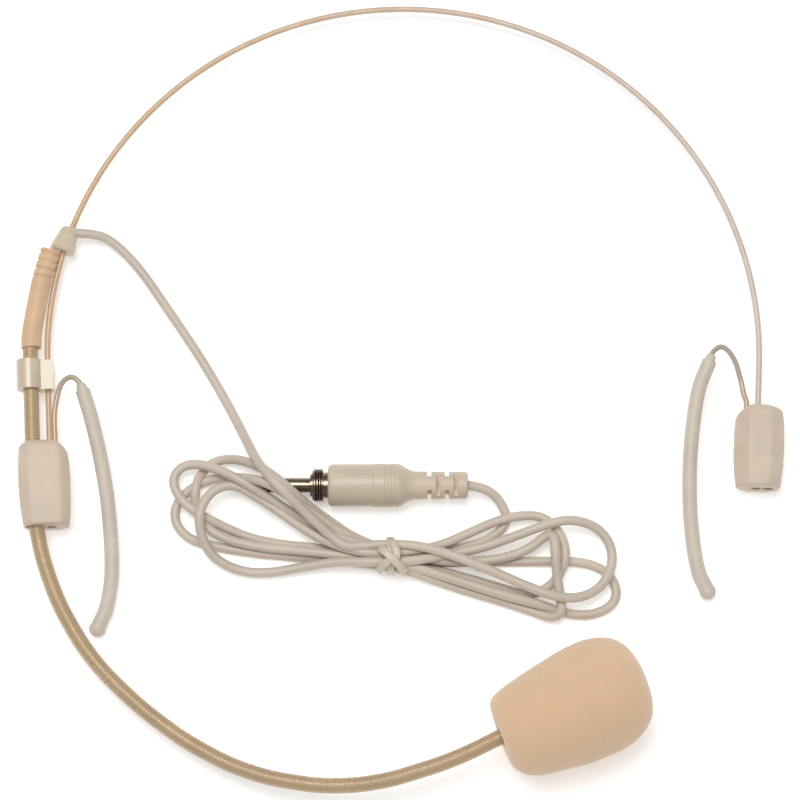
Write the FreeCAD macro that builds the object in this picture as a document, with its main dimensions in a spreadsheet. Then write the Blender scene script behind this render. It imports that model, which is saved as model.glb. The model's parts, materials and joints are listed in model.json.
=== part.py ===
import FreeCAD, Part
import math
import os
import re
import Sketcher
from FreeCAD import Placement, Rotation, Vector

# A behind-the-head headset microphone, lying on its side on a table. Millimetres.
# +X runs across the head, +Y towards the back of the head band, +Z up from the table (z = 0).
# The origin is on the table, under the middle of the headset without its cord.

doc = FreeCAD.newDocument("headset_microphone")
os.makedirs("parts", exist_ok=True)

# ------------------------------------------------------------------ driving dimensions
SIZES = {
    # head band: a half circle of coated spring wire with two straight legs
    "band_radius": 86.0, "band_centre_x": 0.8, "band_centre_y": 10.9, "wire_height": 4.9,
    "leg_lean": 3.0, "band_wire_dia": 1.45, "band_core_dia": 0.80, "core_gap": 0.03,
    "left_leg_end": -32.0, "right_leg_end": -22.5, "stop_dia": 2.2, "stop_length": 3.0,
    # slider blocks
    "block_width": 11.4, "block_depth": 10.4, "block_chamfer": 2.9, "block_corner": 1.1,
    "left_block_length": 20.7, "right_block_length": 20.1, "left_block_twist": 10.0,
    "left_block_x": -85.6, "left_block_y": -13.2, "left_block_z": 5.65,
    "right_block_x": 86.5, "right_block_y": -4.4, "right_block_z": 5.25,
    "grip_dia": 2.5, "grip_length": 9.0, "grip_recess": 0.6, "grip_clearance": 0.03,
    "boom_bore_dia": 4.6, "boom_bore_x": -2.15, "spare_bore_dia": 2.6, "spare_bore_x": 2.4,
    "bush_dia": 2.3, "bush_length": 9.0, "bush_recess": 2.4,
    "slant_turn": 45.0, "slant_x": 2.7, "slant_y": 0.2,
    # ear hooks; the root is where the wire leaves the block, measured from the block's centre
    "left_root_x": 3.15, "left_root_z": 1.85, "right_root_x": -3.3, "right_root_z": 1.0,
    "hook_wire_dia": 1.3, "hook_clearance": 0.03, "sleeve_dia": 3.5, "collar_dia": 2.7,
    "collar_length": 1.6, "collar_bevel": 0.3, "cap_dia": 4.0, "root_rise": 0.4,
    # boom
    "gooseneck_dia": 3.7, "gooseneck_bore": 1.7, "boom_lead_dia": 1.3, "boom_height": 6.3,
    "relief_dia": 4.8, "relief_rib_pitch": 2.0, "relief_groove_depth": 0.35,
    "crimp_dia": 3.6, "crimp_length": 3.5,
    # the clip that joins boom and band wire; its bridge is measured from the band wire
    "clip_y": -0.5, "clip_length": 7.2, "clip_tube_dia": 6.2, "clip_tube_x": -0.35,
    "clip_bore_dia": 4.0, "clip_eye_dia": 1.55, "bridge_left": -2.2, "bridge_right": 1.45,
    "bridge_bottom": -1.9, "bridge_top": 2.6,
    # the cap that holds the lead and the strain relief to the band wire
    "cap_turn": 163.0, "cap_length": 6.2, "cap_wide_dia": 6.4, "cap_narrow_dia": 4.2,
    "cap_mouth_dia": 5.8, "cap_end_dia": 3.2, "cap_edge": 0.6, "cap_side": -0.3,
    "cap_rise": 0.4, "cap_back": 1.9, "nose_length": 3.0, "nose_wall": 0.15,
    # microphone and windscreen
    "mic_angle": 20.0, "mic_x": 23.4, "mic_y": -84.5, "mic_height": 13.8,
    "housing_dia": 6.8, "housing_bore": 6.0, "housing_start": 1.5, "housing_length": 19.0,
    "housing_lip": 0.2, "housing_bevel": 0.8, "ferrule_length": 3.0, "grille_depth": 1.0,
    "grille_thickness": 0.7, "capsule_gap": 0.2, "capsule_length": 5.0, "capsule_seal": 0.5,
    "seal_length": 4.0, "board_thickness": 0.7, "foam_dia": 27.4, "foam_length": 36.0,
    "foam_bore_dia": 7.4, "foam_bore_depth": 22.0,
    # lead
    "cord_dia": 2.3, "strand_layer": 2.3, "hank_floor": 0.1, "hank_play": 0.4,
    # twist tie round the hank
    "tie_x": -2.3, "tie_y": -40.6, "tie_width": 2.2, "tie_length": 8.2, "tie_height": 7.0,
    "tie_floor": 0.2, "tie_thickness": 0.6, "tail_width": 1.9, "tail_length": 8.6,
    "tail_thickness": 0.9,
    # plug, measured from the tip of its 3.5 mm pin along its axis
    "plug_x": -34.9, "plug_y": -23.7, "plug_z": 5.2, "pin_dia": 3.5, "pin_length": 14.0,
    "tip_end": 3.1, "tip_gap_end": 3.8, "ring_end": 5.6, "ring_gap_end": 6.3,
    "tip_rod_dia": 0.9, "tip_liner_dia": 1.5, "ring_rod_dia": 2.1, "ring_liner_dia": 2.7,
    "sleeve_back": 19.6, "lug_step": 1.0, "neck_dia": 5.0, "lock_dia": 8.0,
    "lock_length": 2.6, "lock_pitch": 0.6, "lock_clearance": 0.05,
    "handle_start": 17.7, "handle_end": 34.9, "handle_dia": 10.1,
    "grip_band_dia": 10.4, "grip_band_start": 28.9, "taper_end": 38.5, "handle_bore": 7.4,
    "boot_dia": 6.7, "boot_end_dia": 6.4, "boot_end": 51.1, "boot_slot": 1.0,
    "boot_wall": 0.8, "boot_core": 0.55, "slot_pitch": 2.1, "slot_start": 41.4,
    "groove_width": 0.3, "groove_pitch": 0.75, "groove_depth": 0.1, "groove_start": 1.2,
    "clamp_length": 4.0, "clamp_back": 5.0, "tail_buried": 6.0,
    # a small gap between neighbours
    "skin": 0.3,
}

sheet = doc.addObject("Spreadsheet::Sheet", "Sizes")
for row, (alias, value) in enumerate(SIZES.items(), start=1):
    sheet.set(f"A{row}", alias)
    sheet.set(f"B{row}", str(value))
    sheet.setAlias(f"B{row}", alias)
doc.recompute()

NODES = []


def size(alias):
    """A driving dimension, read from the sheet."""
    return float(sheet.get(alias))


def bound(text):
    """An expression in the sheet's aliases, as setExpression wants it."""
    return re.sub(r"[a-z][a-z_]+", lambda word: f"Sizes.{word.group()}"
                  if word.group() in SIZES else word.group(), text)


def drive(item, prop, text):
    item.setExpression(prop, bound(text))


def value_of(text):
    """The number that an expression gives now, for a first drawing of a sketch."""
    result = sheet.evalExpression(bound(text))
    return float(getattr(result, "Value", result))


def keep(item, node):
    item.Label = node
    NODES.append(item)
    return item


# ------------------------------------------------------------------ places and directions
def unit_turn(angle, radius=1.0):
    """The point at an angle, in degrees, on a circle about the origin."""
    turn = math.radians(angle)
    return Vector(radius * math.cos(turn), radius * math.sin(turn), 0)


LEFT, RIGHT = -1, 1
UP = {side: unit_turn(90 - side * size("leg_lean")) for side in (LEFT, RIGHT)}
CENTRE = Vector(size("band_centre_x"), size("band_centre_y"), size("wire_height"))


def leg_point(side, height):
    """The point of a band leg's centre line at a height y."""
    corner = CENTRE + unit_turn(90 - side * (90 + size("leg_lean")), size("band_radius"))
    return corner + UP[side] * ((height - corner.y) / UP[side].y)


def along(origin, direction):
    """A placement whose local X runs along a direction from an origin."""
    return Placement(origin, Rotation(Vector(1, 0, 0), direction))


BLOCK = {}
for side, name in ((LEFT, "left"), (RIGHT, "right")):
    BLOCK[side] = Vector(*(size(f"{name}_block_{letter}") for letter in "xyz"))

MIC_ORIGIN = Vector(size("mic_x"), size("mic_y"), size("mic_height"))
MIC_AXIS = unit_turn(size("mic_angle"))
PLUG_ORIGIN = Vector(size("plug_x"), size("plug_y"), size("plug_z"))
PLUG_AXIS = Vector(1, 0, 0)


# ------------------------------------------------------------------ paths
def arc_between(start, tangent, end):
    """The arc that leaves start along tangent and reaches end, or a line if it is straight."""
    chord = end - start
    middle = chord * 0.5
    across = tangent - chord * (tangent.dot(chord) / chord.Length ** 2)
    lean = tangent.getAngle(chord)
    if lean < 0.002:
        return Part.LineSegment(start, end).toShape()
    across.normalize()
    rise = chord.Length / 2 * math.tan(lean / 2)
    return Part.Arc(start, start + middle + across * rise, end).toShape()


def pair_of_arcs(start, out, end, into):
    """Two arcs that join smoothly: from start along out, to end along into."""
    span = end - start
    both = out + into
    gap = 2 * (1 - out.dot(into))
    if gap < 1e-6:
        reach = span.dot(span) / (4 * span.dot(into))
    else:
        root = math.sqrt(span.dot(both) ** 2 + 2 * gap * span.dot(span) / 2)
        reach = (root - span.dot(both)) / gap
    joint = (start + end + (out - into) * reach) * 0.5
    middle = (joint - start - out * reach).normalize() if reach > 1e-9 else out
    return [arc_between(start, out, joint), arc_between(joint, middle, end)]


def tangents(points, first=None, last=None, closed=False):
    """A direction at each point, from its neighbours."""
    result = []
    count = len(points)
    for index, point in enumerate(points):
        before = points[index - 1] if closed or index else point
        after = points[(index + 1) % count] if closed or index < count - 1 else point
        result.append((after - before).normalize())
    if first:
        result[0] = Vector(first).normalize()
    if last:
        result[-1] = Vector(last).normalize()
    return result


def smooth_edges(points, ways, closed=False):
    """Arcs through points, with the given direction at each."""
    stops = list(range(len(points)))
    if closed:
        stops.append(0)
    edges = []
    for here, there in zip(stops, stops[1:]):
        edges += pair_of_arcs(points[here], ways[here], points[there], ways[there])
    return edges


def cord_route(points):
    """Straight runs joined by tangent arcs, each as large as its two runs allow."""
    edges = []
    here = points[0]
    for before, corner, after in zip(points, points[1:], points[2:]):
        arriving = corner - before
        leaving = after - corner
        trim = 0.45 * min(arriving.Length, leaving.Length)
        enter = corner - arriving.normalize() * trim
        leave = corner + leaving.normalize() * trim
        edges.append(Part.LineSegment(here, enter).toShape())
        edges.append(arc_between(enter, arriving, leave))
        here = leave
    edges.append(Part.LineSegment(here, points[-1]).toShape())
    return edges


# ------------------------------------------------------------------ builders
def swept_rod(name, edges, diameter):
    """A round rod along a path; its diameter is an expression."""
    path = doc.addObject("Part::Feature", f"{name}_path")
    path.Shape = Part.Wire(edges)
    ring = doc.addObject("Part::Circle", f"{name}_section")
    drive(ring, "Radius", f"({diameter}) / 2")
    start = edges[0].valueAt(edges[0].FirstParameter)
    ring.Placement = Placement(start, Rotation(Vector(0, 0, 1), edges[0].tangentAt(
        edges[0].FirstParameter)))
    rod = doc.addObject("Part::Sweep", f"{name}_rod")
    rod.Sections = [ring]
    rod.Spine = (path, [f"Edge{index + 1}" for index in range(len(edges))])
    rod.Solid = True
    rod.Frenet = False
    return rod


def cut(name, base, tool):
    result = doc.addObject("Part::Cut", name)
    result.Base = base
    result.Tool = tool
    return result


def fused(name, pieces):
    result = doc.addObject("Part::MultiFuse", name)
    result.Shapes = pieces
    return result


def swept_tube(name, edges, diameter, bore):
    return cut(f"{name}_tube", swept_rod(f"{name}_outer", edges, diameter),
               swept_rod(f"{name}_inner", edges, bore))


def rod(name, start, direction, diameter, length):
    """A straight round rod from start along direction; its sizes are expressions."""
    piece = doc.addObject("Part::Cylinder", name)
    drive(piece, "Radius", f"({diameter}) / 2")
    drive(piece, "Height", length)
    piece.Placement = Placement(start, Rotation(Vector(0, 0, 1), direction))
    return piece


def box(name, low, high, place=None):
    piece = doc.addObject("Part::Box", name)
    piece.Length, piece.Width, piece.Height = (b - a for a, b in zip(low, high))
    piece.Placement = (place or Placement()) * Placement(Vector(*low), Rotation())
    return piece


def plane_of(body, role):
    return next(item for item in body.Origin.OriginFeatures if item.Role == role)


def outline_sketch(body, name, outline):
    """A closed polygon on the body's XY plane; each corner is driven by two expressions."""
    sketch = body.newObject("Sketcher::SketchObject", name)
    sketch.AttachmentSupport = [(plane_of(body, "XY_Plane"), "")]
    sketch.MapMode = "FlatFace"
    corners = [Vector(value_of(x), value_of(y), 0) for x, y in outline]
    count = len(corners)
    for index in range(count):
        sketch.addGeometry(Part.LineSegment(corners[index], corners[(index + 1) % count]), False)
    for index in range(count):
        sketch.addConstraint(Sketcher.Constraint("Coincident", index, 2, (index + 1) % count, 1))
    for index, (x, y) in enumerate(outline):
        for kind, text, number in (("DistanceX", x, corners[index].x),
                                   ("DistanceY", y, corners[index].y)):
            if text == "0":
                axis = -2 if kind == "DistanceX" else -1
                sketch.addConstraint(Sketcher.Constraint("PointOnObject", index, 1, axis))
                continue
            which = sketch.addConstraint(Sketcher.Constraint(kind, -1, 1, index, 1, number))
            sketch.setExpression(f"Constraints[{which}]", bound(text))
    return sketch


def turned(node, outline, place):
    """A lathe-turned piece: (along, radius) corners revolved about local X."""
    body = doc.addObject("PartDesign::Body", node)
    sketch = outline_sketch(body, f"{node}_profile", outline)
    doc.recompute()
    spin = body.newObject("PartDesign::Revolution", f"{node}_turn")
    spin.Profile = sketch
    spin.ReferenceAxis = (sketch, ["H_Axis"])
    spin.Angle = 360
    sketch.Visibility = False
    body.Placement = place
    return body


def ring_outline(start, end, outer, inner):
    """The half section of a plain ring or tube."""
    return [(start, inner), (end, inner), (end, outer), (start, outer)]


# ------------------------------------------------------------------ head band
def band_edges():
    """Left leg, half circle and right leg, from the left end to the right end."""
    start = leg_point(LEFT, size("left_leg_end"))
    end = leg_point(RIGHT, size("right_leg_end"))
    first = CENTRE + unit_turn(180 + size("leg_lean"), size("band_radius"))
    top = CENTRE + unit_turn(90, size("band_radius"))
    last = CENTRE + unit_turn(-size("leg_lean"), size("band_radius"))
    return [Part.LineSegment(start, first).toShape(), Part.Arc(first, top, last).toShape(),
            Part.LineSegment(last, end).toShape()]


def make_band():
    edges = band_edges()
    keep(swept_rod("band_core", edges, "band_core_dia"), "band_core_wire")
    keep(swept_tube("band", edges, "band_wire_dia", "band_core_dia + 2 * core_gap"),
         "band_sheath")
    for side, name in ((LEFT, "left"), (RIGHT, "right")):
        end = leg_point(side, size(f"{name}_leg_end"))
        stop = turned(f"{name}_band_end_stop", ring_outline(
            "0", "stop_length", "stop_dia / 2", "band_wire_dia / 2 + core_gap"),
            along(end, UP[side]))
        keep(stop, f"{name}_band_end_stop")


# ------------------------------------------------------------------ slider blocks
def block_section(scale, drop):
    """A rounded octagon in the local XZ plane, at a distance below the block's top."""
    wide = size("block_width") / 2 * scale
    deep = size("block_depth") / 2 * scale
    nib = size("block_chamfer") * scale
    corners = [Vector(wide, -drop, deep - nib), Vector(wide - nib, -drop, deep)]
    corners += [Vector(-p.x, p.y, p.z) for p in reversed(corners)]
    corners += [Vector(p.x, p.y, -p.z) for p in reversed(corners)]
    trim = size("block_corner") * scale * math.tan(math.radians(22.5)) * 2
    edges = []
    for index, corner in enumerate(corners):
        before = (corners[index - 1] - corner).normalize() * trim
        after = (corners[(index + 1) % 8] - corner).normalize() * trim
        following = corners[(index + 1) % 8]
        edges.append(arc_between(corner + before, -before, corner + after))
        edges.append(Part.LineSegment(corner + after, following + (
            corner - following).normalize() * trim).toShape())
    return Part.Wire(edges)


# how full the barrel is, from the block's top to its bottom
BARREL = ((0.0, 0.90), (0.22, 0.985), (0.48, 1.0), (0.74, 0.97), (1.0, 0.87))


def block_frame(side):
    twist = Rotation(Vector(0, 1, 0), -size("left_block_twist") if side == LEFT else 0)
    lean = Rotation(Vector(0, 0, 1), -side * size("leg_lean"))
    return Placement(BLOCK[side], lean * twist)


def hook_root(side):
    """Where the hook wire leaves the block's top."""
    name = "left" if side == LEFT else "right"
    return BLOCK[side] + Vector(size(f"{name}_root_x"), 0, size(f"{name}_root_z"))


def make_block(side, name):
    length = size(f"{name}_block_length")
    down = UP[side] * -1
    band_top = leg_point(side, BLOCK[side].y)
    sections = []
    for index, (share, scale) in enumerate(BARREL):
        wire = doc.addObject("Part::Feature", f"{name}_block_section_{index}")
        wire.Shape = block_section(scale, share * length)
        sections.append(wire)
    barrel = doc.addObject("Part::Loft", f"{name}_block_barrel")
    barrel.Sections = sections
    barrel.Solid = True
    barrel.Placement = block_frame(side)
    # the slanted corner beside the hook wire
    reach = size("block_width")
    slant = Placement(Vector(-side * size("slant_x"), size("slant_y"), 0),
                      Rotation(Vector(0, 0, 1), side * size("slant_turn")))
    corner = box(f"{name}_block_corner", (-reach, 0, -reach), (reach, reach, reach),
                 block_frame(side) * slant)
    above = UP[side] * 2
    through = f"{name}_block_length + 6"
    bores = [corner, rod(f"{name}_band_bore", band_top + above, down, "grip_dia", through),
             rod(f"{name}_bush_bore", hook_root(side) + down * size("bush_recess"), down,
                 "bush_dia", "bush_length"),
             rod(f"{name}_hook_bore", hook_root(side) + above, down, "hook_wire_dia + 0.4",
                 "bush_length / 2 + 2")]
    if side == LEFT:
        boom = BLOCK[side] + Vector(size("boom_bore_x"), 0, size("boom_height") - BLOCK[side].z)
        bores.append(rod("left_boom_bore", boom + above, down, "boom_bore_dia", through))
    else:
        spare = BLOCK[side] + Vector(size("spare_bore_x"), 0, 0)
        bores.append(rod("right_spare_bore", spare + above, down, "spare_bore_dia", through))
    keep(cut(f"{name}_block", barrel, fused(f"{name}_block_bores", bores)),
         f"{name}_slider_block")

    grip = turned(f"{name}_wire_grip", ring_outline(
        "grip_recess", "grip_recess + grip_length", "grip_dia / 2",
        "band_wire_dia / 2 + grip_clearance"), along(band_top, down))
    keep(grip, f"{name}_wire_grip")
    bush = turned(f"{name}_hook_bush", ring_outline(
        "bush_recess", "bush_recess + bush_length", "bush_dia / 2",
        "hook_wire_dia / 2 + hook_clearance"), along(hook_root(side), down))
    keep(bush, f"{name}_hook_bush")


# ------------------------------------------------------------------ ear hooks
# points above the block's top: wire, tight turn, then the long sleeve down behind the ear
HOOK_POINTS = {
    LEFT: [(-82.75, -7.0, 7.6), (-82.1, -2.3, 8.0), (-80.9, 0.7, 8.7), (-78.8, 1.9, 9.3),
           (-76.9, 0.7, 9.7), (-75.9, -1.4, 9.7), (-73.7, -8.4, 8.6), (-71.2, -19.1, 6.8),
           (-69.5, -29.7, 5.3), (-68.6, -43.9, 3.5), (-69.7, -52.5, 2.6), (-71.8, -57.7, 2.1)],
    RIGHT: [(82.6, -1.6, 6.3), (81.9, 2.0, 6.5), (80.3, 6.7, 7.7), (77.7, 9.4, 8.7),
            (75.4, 8.4, 9.3), (74.2, 5.8, 9.5), (71.6, -1.0, 8.3), (69.9, -11.5, 6.7),
            (69.2, -22.5, 5.3), (69.5, -33.5, 4.0), (71.0, -43.8, 2.8), (73.2, -48.8, 2.15)],
}
SLEEVE_START = 6


def make_hook(side, name):
    root = hook_root(side)
    buried = root - UP[side] * (size("bush_recess") + size("bush_length") - 0.5)
    points = [buried, root + UP[side] * size("root_rise")]
    points += [Vector(*p) for p in HOOK_POINTS[side]]
    ways = tangents(points, UP[side])
    ways[1] = Vector(UP[side])
    edges = smooth_edges(points, ways)
    split = 2 * (SLEEVE_START + 1)
    sleeve = edges[split:]
    bare_end = 2
    keep(swept_rod(f"{name}_hook", edges[:-bare_end], "hook_wire_dia"), f"{name}_hook_wire")

    tube = swept_tube(f"{name}_sleeve", sleeve[:-bare_end], "sleeve_dia",
                      "hook_wire_dia + 2 * hook_clearance")
    keep(tube, f"{name}_hook_sleeve")

    start = points[SLEEVE_START + 1]
    back = ways[SLEEVE_START + 1] * -1
    collar = turned(f"{name}_hook_collar", [
        ("0", "hook_wire_dia / 2 + hook_clearance"),
        ("collar_length", "hook_wire_dia / 2 + hook_clearance"),
        ("collar_length", "collar_dia / 2 - collar_bevel"), ("collar_bevel", "collar_dia / 2"),
        ("0", "collar_dia / 2")], along(start, back))
    keep(collar, f"{name}_hook_collar")

    shaft = swept_rod(f"{name}_cap_shaft", sleeve[-bare_end:], "sleeve_dia + 0.1")
    ball = doc.addObject("Part::Sphere", f"{name}_cap_ball")
    drive(ball, "Radius", "cap_dia / 2")
    ball.Placement = Placement(points[-1], Rotation())
    keep(fused(f"{name}_cap", [shaft, ball]), f"{name}_hook_end_cap")


# ------------------------------------------------------------------ boom
BOOM_DOWN = UP[LEFT] * -1
BOOM_TOP = Vector(-89.2, 9.8, size("boom_height"))
BOOM_IN_BLOCK = BOOM_TOP + BOOM_DOWN * 22.3
# the gooseneck's line below the block, ending at the microphone's axis
BOOM_POINTS = [(-86.5, -33.5, 6.3), (-82.5, -47.8, 6.3), (-77.1, -58.6, 6.4),
               (-72.3, -65.5, 6.6), (-66.6, -71.7, 6.9), (-57.0, -80.0, 7.4),
               (-46.0, -87.3, 8.1), (-35.0, -92.3, 9.0), (-24.0, -94.9, 9.9),
               (-15.4, -95.7, 10.7), (-4.6, -94.8, 11.7), (4.6, -92.4, 12.6),
               (12.6, -89.7, 13.3)]
FLEX_STARTS = (5, 10, 13)


def boom_line():
    """All the boom's points and directions, from the strain relief to the microphone."""
    points = [BOOM_TOP, BOOM_IN_BLOCK] + [Vector(*p) for p in BOOM_POINTS]
    points.append(MIC_ORIGIN + MIC_AXIS * size("housing_start"))
    ways = tangents(points, BOOM_DOWN, MIC_AXIS)
    ways[1] = Vector(BOOM_DOWN)
    return points, ways


def make_boom():
    points, ways = boom_line()
    count = len(points) - 1
    cuts = [0]
    for start in FLEX_STARTS:
        cuts += [start, start + 1]
    cuts.append(count)
    names = ["gooseneck_upper", "gooseneck_flex_1", "gooseneck_middle", "gooseneck_flex_2",
             "gooseneck_lower", "gooseneck_flex_3", "gooseneck_tip"]
    for name, first, last in zip(names, cuts, cuts[1:]):
        edges = smooth_edges(points[first:last + 1], ways[first:last + 1])
        keep(swept_tube(name, edges, "gooseneck_dia", "gooseneck_bore"), name)
        if "flex" in name:
            continue
        lead = name.replace("gooseneck", "boom_lead")
        inner = edges if last == count else edges[:-1]
        keep(swept_rod(f"{lead}_core", inner, "boom_lead_dia"), lead)


RELIEF_POINTS = [(-88.9, 13.5, 6.3), (-88.0, 20.0, 6.2), (-86.8, 27.0, 6.2), (-84.95, 34.2, 6.2)]
GROOVE_COUNT = 4


def make_strain_relief():
    """The ribbed sleeve at the boom's top, with the crimp that it hides."""
    points = [Vector(BOOM_TOP) + Vector(0.3, 0, 0)] + [Vector(*p) for p in RELIEF_POINTS]
    ways = tangents(points, UP[LEFT])
    edges = smooth_edges(points, ways)
    body = swept_rod("boom_relief_body", edges, "relief_dia")
    hole = rod("relief_hole", BOOM_TOP - UP[LEFT], UP[LEFT], "crimp_dia", "crimp_length + 1")
    rings = []
    step = (points[-1] - points[-2]).normalize()
    for index in range(GROOVE_COUNT):
        ring = doc.addObject("Part::Torus", f"relief_groove_{index}")
        drive(ring, "Radius1", "relief_dia / 2 + 0.05")
        drive(ring, "Radius2", "relief_groove_depth")
        place = points[-1] - step * (1.0 + index * size("relief_rib_pitch"))
        bend = UP[LEFT] * (0.12 * index) + step * (1 - 0.12 * index)
        ring.Placement = Placement(place, Rotation(Vector(0, 0, 1), bend))
        rings.append(ring)
    tools = fused("relief_tools", [hole] + rings)
    keep(cut("boom_relief", body, tools), "boom_strain_relief")
    crimp = turned("boom_crimp_sleeve", ring_outline(
        "0", "crimp_length", "crimp_dia / 2", "boom_lead_dia / 2 + core_gap"),
        along(BOOM_TOP, UP[LEFT]))
    keep(crimp, "boom_crimp_sleeve")


def make_boom_clip():
    """A tube round the boom, and beside it a block with an eye for the band wire."""
    low = size("clip_y")
    length = size("clip_length")
    base = leg_point(LEFT, low)
    boom = BOOM_TOP + BOOM_DOWN * ((BOOM_TOP.y - low) / UP[LEFT].y)
    tube = rod("clip_tube", boom + Vector(size("clip_tube_x"), 0, 0), UP[LEFT],
               "clip_tube_dia", "clip_length")
    frame = Placement(base, Rotation(Vector(0, 0, 1), size("leg_lean")))
    bridge = box("clip_bridge", (size("bridge_left"), 0, size("bridge_bottom")),
                 (size("bridge_right"), length, size("bridge_top")), frame)
    bore = rod("clip_bore", boom - UP[LEFT], UP[LEFT], "clip_bore_dia", "clip_length + 2")
    eye = rod("clip_eye", base - UP[LEFT], UP[LEFT], "clip_eye_dia", "clip_length + 2")
    keep(cut("boom_clip_cut", fused("clip_body", [tube, bridge]),
             fused("clip_tools", [bore, eye])), "boom_clip")


def make_cable_clip():
    """The small tapered cap that holds the lead and the strain relief to the band wire."""
    seat = CENTRE + unit_turn(size("cap_turn"), size("band_radius"))
    ahead = unit_turn(size("cap_turn") - 90)
    middle = seat + Vector(size("cap_side"), 0, size("cap_rise")) - ahead * size("cap_back")
    cone = turned("cable_clip_cone", [
        ("0", "0"), ("cap_length", "0"), ("cap_length", "cap_end_dia / 2"),
        ("cap_length - cap_edge", "cap_narrow_dia / 2"), ("cap_edge", "cap_wide_dia / 2"),
        ("0", "cap_mouth_dia / 2")], along(middle, ahead))
    lead = Vector(*LEAD_POINTS[0])
    across = Vector(1, 0, 0)
    hole = rod("cable_clip_wire_hole", seat - ahead * size("cap_length"), ahead,
               "band_wire_dia + skin", "3 * cap_length")
    relief = rod("cable_clip_relief_room", Vector(*RELIEF_POINTS[-1]) - ahead * 3, ahead,
                 "relief_dia + 0.4", "3.4")
    socket = rod("cable_clip_socket", lead, across, "cord_dia", "nose_length + 1")
    nose = rod("cable_clip_nose", lead - across * size("nose_length"), across,
               "cord_dia + 2 * nose_wall", "nose_length")
    keep(cut("cable_clip_cut", fused("cable_clip_body", [cone, nose]),
             fused("cable_clip_tools", [hole, relief, socket])), "cable_clip")


# ------------------------------------------------------------------ microphone
def mic_place(distance):
    return along(MIC_ORIGIN + MIC_AXIS * distance, MIC_AXIS)


def make_microphone():
    """The metal housing with its grille, the capsule, seal and board inside, and the ferrule."""
    place = mic_place(size("housing_start"))
    inside = "housing_bore / 2"
    outside = "housing_dia / 2"
    front = "housing_length - grille_depth"
    keep(turned("mic_rear_ferrule", ring_outline(
        "housing_lip", "housing_lip + ferrule_length", inside, "boom_lead_dia / 2 + core_gap"),
        place), "mic_rear_ferrule")
    seat = "gooseneck_dia / 2 + lock_clearance"
    keep(turned("mic_housing", [
        ("0", seat), ("housing_lip", seat), ("housing_lip", inside), (front, inside),
        (front, outside), ("housing_bevel", outside), ("0", f"{outside} - housing_bevel")],
        place), "mic_housing")
    rim = f"{front} + grille_thickness"
    keep(turned("mic_front_grille", [
        (front, "0"), (rim, "0"), (rim, f"{outside} - 1"),
        (f"{rim} - skin", outside), (front, outside)], place), "mic_front_grille")
    face = f"{front} - capsule_gap"
    back = f"{face} - capsule_length"
    can = f"{inside} - capsule_seal"
    keep(turned("mic_capsule", [(back, "0"), (face, "0"), (face, can), (back, can)], place),
         "mic_capsule")
    keep(turned("mic_capsule_seal", ring_outline(back, f"{back} + seal_length", inside, can),
                place), "mic_capsule_seal")
    disc = f"{can} - capsule_gap"
    keep(turned("mic_capsule_board", [
        (f"{back} - board_thickness", "0"), (back, "0"), (back, disc),
        (f"{back} - board_thickness", disc)], place), "mic_capsule_board")


# the windscreen's outline: share of its length, share of its largest radius
FOAM_SHAPE = ((0.0, 0.50), (0.012, 0.565), (0.05, 0.70), (0.10, 0.79), (0.25, 0.885), (0.5, 0.972),
              (0.68, 1.0), (0.82, 0.94), (0.92, 0.76), (0.975, 0.55), (1.0, 0.25))


def make_windscreen():
    corners = [("foam_bore_depth", "0"), ("foam_length", "0")]
    for share, fullness in reversed(FOAM_SHAPE):
        corners.append((f"foam_length * {share}" if share else "0",
                        f"foam_dia / 2 * {fullness}"))
    corners += [("0", "foam_bore_dia / 2"), ("foam_bore_depth", "foam_bore_dia / 2")]
    keep(turned("foam_windscreen", corners, mic_place(0)), "foam_windscreen")


# ------------------------------------------------------------------ lead and hank
# from the cable clip down across the table, then up over the plug's pin into the hank
LEAD_POINTS = [(-79.6, 39.0, 5.0), (-74.0, 39.2, 4.2), (-69.4, 36.9, 3.0), (-63.5, 30.9, 1.7),
               (-57.0, 21.4, 1.2), (-48.8, 9.3, 1.2), (-42.1, -2.1, 1.3), (-37.2, -11.9, 4.0),
               (-34.2, -18.3, 8.0)]
PLUG_LEAD_POINTS = [(16.2, -23.7, 5.2), (19.8, -24.1, 4.8), (23.1, -26.1, 3.8),
                    (25.2, -29.4, 2.6), (25.7, -32.4, 1.9)]
HANK_LEFT = [(-5.2, -37.1), (-12.0, -33.7), (-19.0, -29.7), (-24.0, -25.1), (-30.0, -19.1),
             (-40.5, -15.9), (-49.0, -18.3), (-54.8, -24.1), (-54.4, -32.1), (-47.0, -41.1),
             (-40.5, -44.9), (-32.9, -46.2), (-23.8, -44.9), (-14.3, -43.5), (-5.2, -44.3)]
HANK_RIGHT = [(1.4, -36.7), (9.6, -35.7), (16.7, -32.8), (25.6, -29.7), (35.0, -29.1),
              (45.0, -30.1), (50.6, -34.1), (52.4, -40.5), (53.4, -47.5), (51.4, -53.7),
              (44.5, -56.4), (35.6, -56.1), (21.4, -53.0), (11.9, -49.8), (1.4, -44.4)]
HOLE_LEFT = [(-18.0, -34.7), (-26.0, -31.9), (-37.0, -27.5), (-45.0, -27.9), (-45.6, -32.1),
             (-37.0, -36.1), (-27.0, -37.1)]
HOLE_RIGHT = [(11.0, -41.7), (20.0, -39.9), (30.0, -36.5), (34.5, -39.1), (34.0, -46.1),
              (28.5, -47.0), (20.0, -44.5)]


def slab(name, points, low, high):
    """A plate with a smooth outline, between two heights."""
    corners = [Vector(x, y, low) for x, y in points]
    wire = Part.Wire(smooth_edges(corners, tangents(corners, closed=True), closed=True))
    plate = doc.addObject("Part::Feature", name)
    plate.Shape = Part.Face(wire).extrude(Vector(0, 0, high - low))
    return plate


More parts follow.
